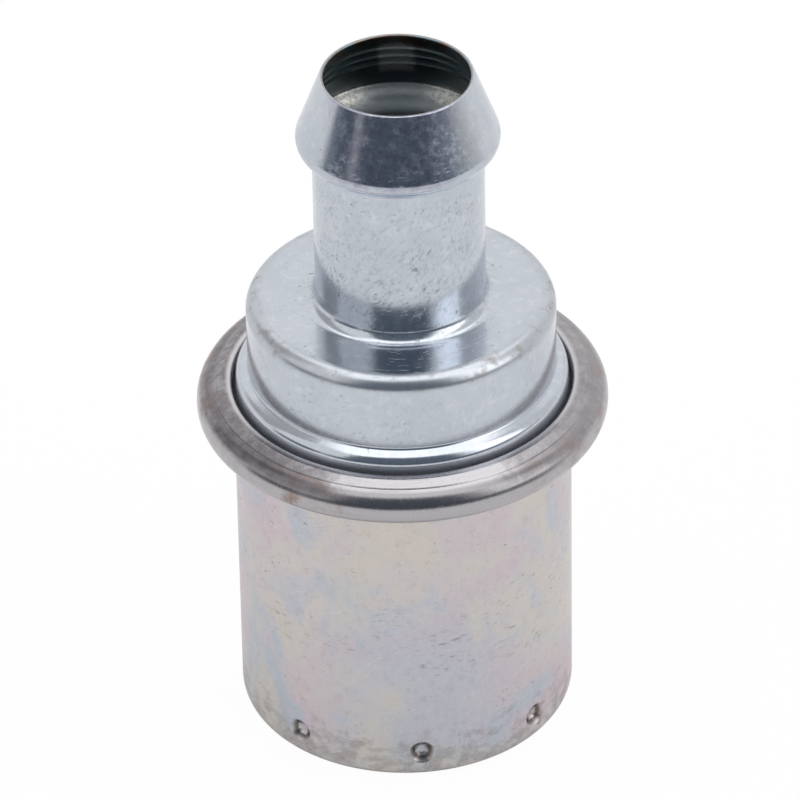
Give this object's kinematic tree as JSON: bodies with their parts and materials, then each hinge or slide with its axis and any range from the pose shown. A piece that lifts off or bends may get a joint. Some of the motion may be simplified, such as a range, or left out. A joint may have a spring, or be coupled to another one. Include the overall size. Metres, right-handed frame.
{
  "type": "pcv valve",
  "caption": "Crankcase ventilation valve: drawn steel barrel with a crimped bead, barbed hose nipple, and a sprung tapered plunger inside.",
  "frame": {"origin": "centre of the barrel's flat bottom", "axes": "+Z along the valve's axis from the barrel towards the hose nipple, +X and +Y across it"},
  "size_m": [0.0238, 0.0238, 0.0425],
  "materials": {
    "barrel_plate": "satin plated steel with faint iridescence and fine scratches",
    "cap_zinc": "bright bluish zinc plate, glossy",
    "washer_steel": "plain stamped steel",
    "turned_steel": "turned steel with fine tool rings",
    "spring_steel": "drawn spring wire"
  },
  "bodies": {
    "housing": {"barrel": "barrel_plate", "outlet_cap": "cap_zinc", "orifice_plate": "washer_steel", "inlet_seat": "washer_steel", "plunger_spring": "spring_steel"},
    "plunger": {"plunger": "turned_steel"}
  },
  "joints": [
    {"name": "plunger_slide", "type": "slide", "parent": "housing", "child": "plunger", "axis": [0, 0, 1], "range_m": [0, 0.005], "stiffness_N_per_m": 230, "springref_m": -0.003, "deforming": ["plunger_spring"]}
  ]
}
